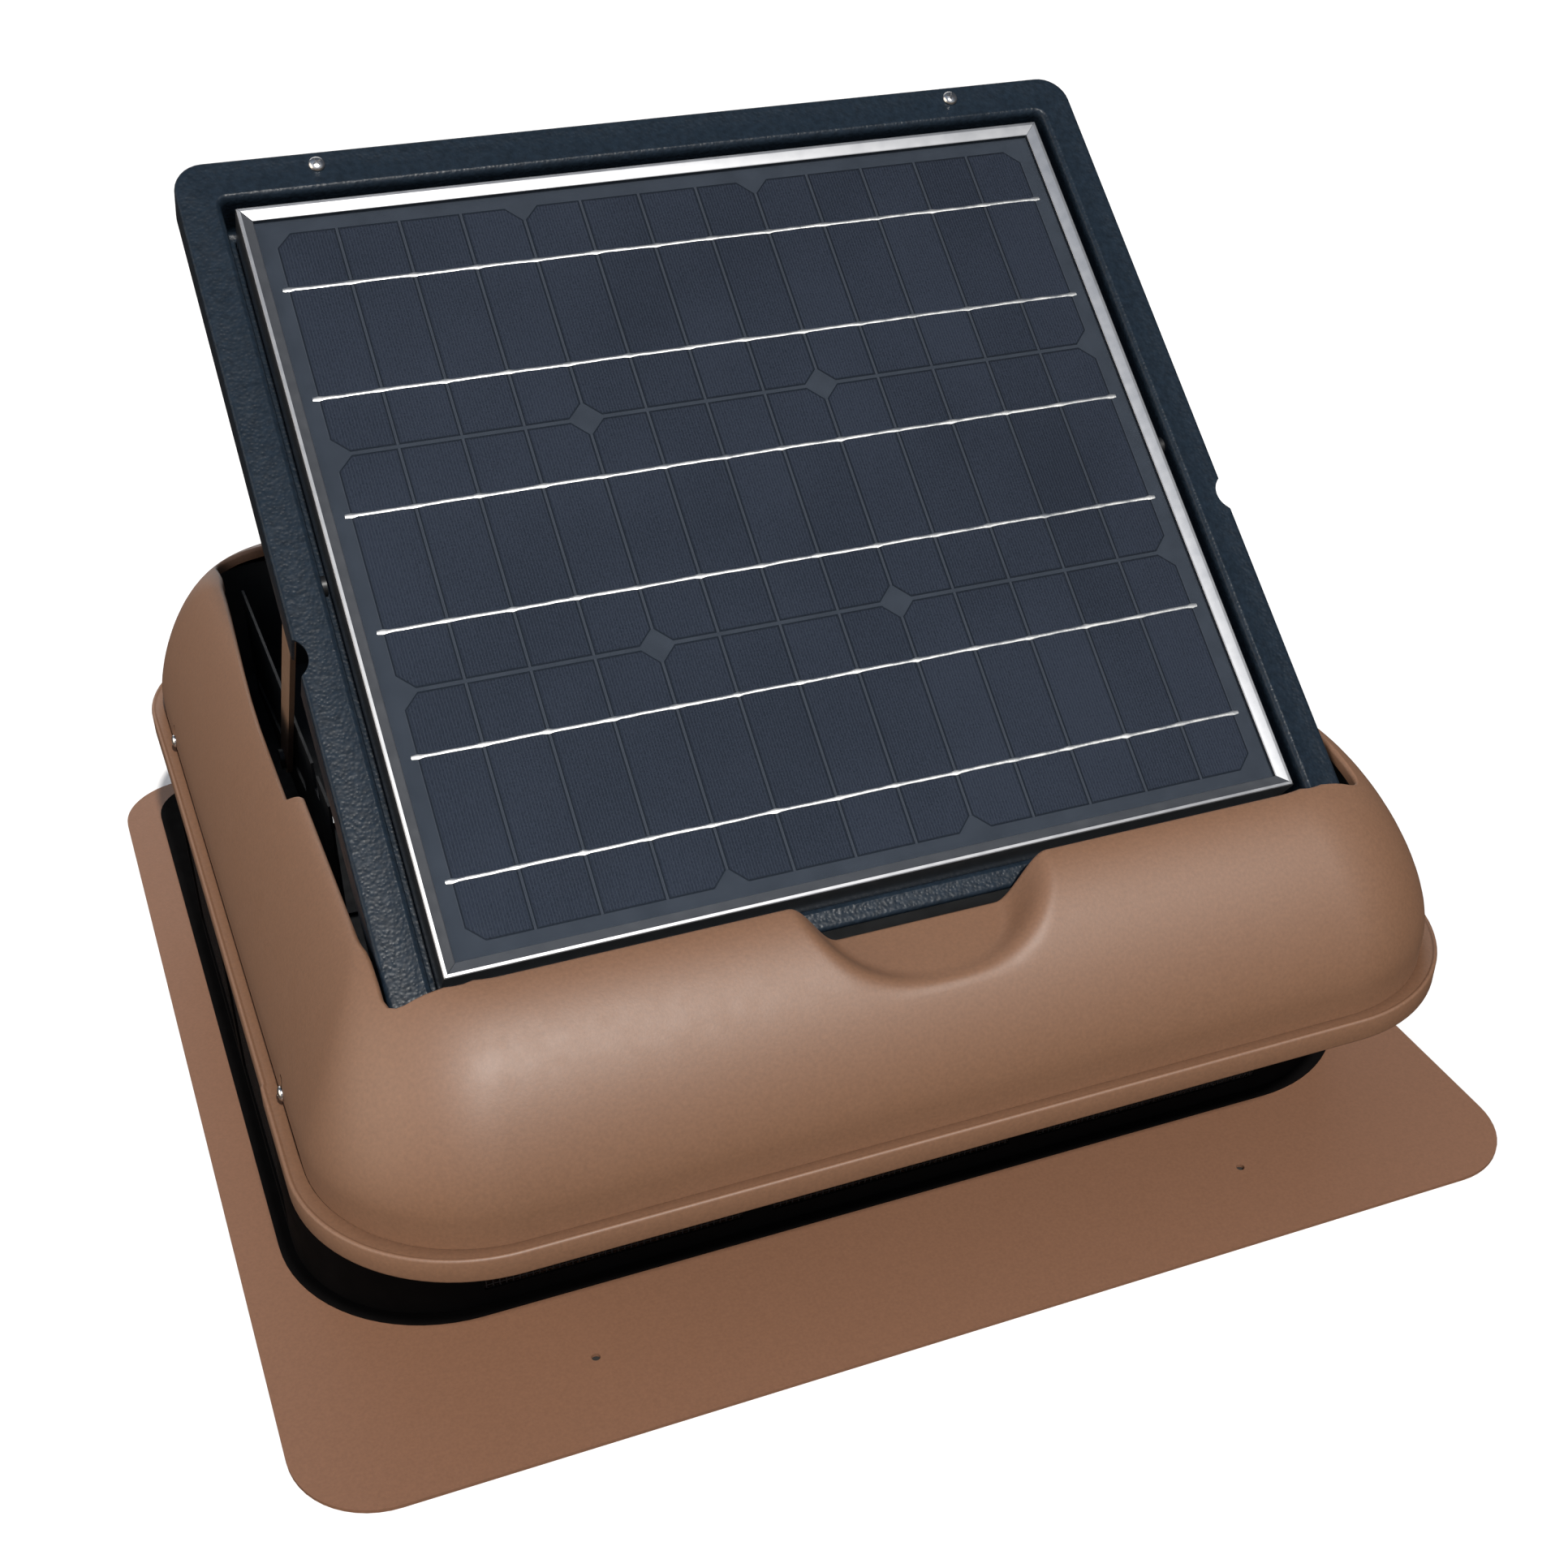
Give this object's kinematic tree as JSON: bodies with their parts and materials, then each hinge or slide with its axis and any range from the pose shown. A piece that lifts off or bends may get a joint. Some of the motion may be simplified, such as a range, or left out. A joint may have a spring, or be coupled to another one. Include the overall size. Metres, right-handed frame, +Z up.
{
  "type": "solar attic fan",
  "caption": "Roof-mounted attic fan under a sheet-metal hood, driven by a solar module on a tray that tilts on front hinges and side struts.",
  "frame": {"origin": "middle of the flashing's underside, on the fan's axis", "axes": "+Z up, along the fan's axis; -Y towards the hinged edge of the tray; +X to the right seen from -Y"},
  "size_m": [0.66, 0.66, 0.4637],
  "materials": {
    "brown_coat": "satin",
    "brown_bar": "satin",
    "black_coat": "satin",
    "zinc_plate": "satin",
    "bright_steel": "polished",
    "black_rubber": "matte",
    "black_plastic": "matte",
    "copper_winding": "satin",
    "magnet": "satin",
    "frame_aluminium": "satin",
    "clear_glass": "gloss",
    "silicon": "gloss",
    "tinned_ribbon": "gloss",
    "dark_backsheet": "matte"
  },
  "bodies": {
    "base": {"flashing": "brown_coat", "throat_ring": "black_coat", "throat_rivets": "bright_steel", "screen_frame": "black_coat", "screen_mesh": "black_coat", "standoff_brackets": "zinc_plate", "bracket_rivets": "bright_steel", "hood_shell": "brown_coat", "rim_band": "brown_coat", "hood_screws": "bright_steel", "pocket_liner": "black_coat", "pocket_grommet": "black_rubber", "tilt_rails": "black_coat", "rail_screws": "bright_steel", "hinge_fixed_leaves": "zinc_plate", "hinge_pins": "bright_steel", "bumper_rests": "zinc_plate", "motor_spider": "black_coat", "spider_bolts": "bright_steel", "motor_screws": "bright_steel", "motor_housing": "black_coat", "motor_end_cap": "black_coat", "motor_stator": "copper_winding", "motor_bearings": "bright_steel", "motor_gland": "black_plastic", "thermal_switch": "black_plastic"},
    "fan": {"motor_shaft": "bright_steel", "motor_magnet": "magnet", "fan_hub": "black_plastic", "fan_blades": "black_plastic", "fan_nut": "bright_steel"},
    "panel": {"tray": "black_coat", "hinge_moving_leaves": "zinc_plate", "panel_frame": "frame_aluminium", "panel_glass": "clear_glass", "solar_cells": "silicon", "cell_ribbons": "tinned_ribbon", "panel_backsheet": "dark_backsheet", "junction_box": "black_plastic", "junction_gland": "black_plastic", "tray_grommet": "black_rubber", "tray_screws": "bright_steel", "rest_bumpers": "black_rubber", "module_screws": "bright_steel", "strut_pivot_bolts": "bright_steel"},
    "strut_left": {"strut_left": "brown_bar", "foot_bolt_left": "bright_steel"},
    "strut_right": {"strut_right": "brown_bar", "foot_bolt_right": "bright_steel"},
    "clamp_nut_left": {"clamp_nut_left": "bright_steel"},
    "clamp_nut_right": {"clamp_nut_right": "bright_steel"}
  },
  "joints": [
    {"name": "fan_spin", "type": "hinge", "parent": "base", "child": "fan", "pos_m": [0, 0, 0.058], "axis": [0, 0, 1], "continuous": true},
    {"name": "panel_tilt", "type": "hinge", "parent": "base", "child": "panel", "pos_m": [0, -0.2216, 0.1823], "axis": [1, 0, 0], "range_deg": [-37.7, 7.3]},
    {"name": "strut_left_swing", "type": "hinge", "parent": "panel", "child": "strut_left", "pos_m": [-0.2405, -0.05149, 0.31378], "axis": [1, 0, 0], "range_deg": [-14.7, 75.5]},
    {"name": "strut_right_swing", "type": "hinge", "parent": "panel", "child": "strut_right", "pos_m": [0.2405, -0.05149, 0.31378], "axis": [1, 0, 0], "range_deg": [-14.7, 75.5]},
    {"name": "clamp_nut_left_turn", "type": "hinge", "parent": "strut_left", "child": "clamp_nut_left", "pos_m": [-0.2325, 0.08469, 0.1474], "axis": [1, 0, 0], "continuous": true},
    {"name": "clamp_nut_right_turn", "type": "hinge", "parent": "strut_right", "child": "clamp_nut_right", "pos_m": [0.2325, 0.08469, 0.1474], "axis": [1, 0, 0], "continuous": true}
  ],
  "couplings": [
    {"joint": "strut_left_swing", "follows": "panel_tilt", "ratio": -2},
    {"joint": "strut_right_swing", "follows": "panel_tilt", "ratio": -2}
  ]
}
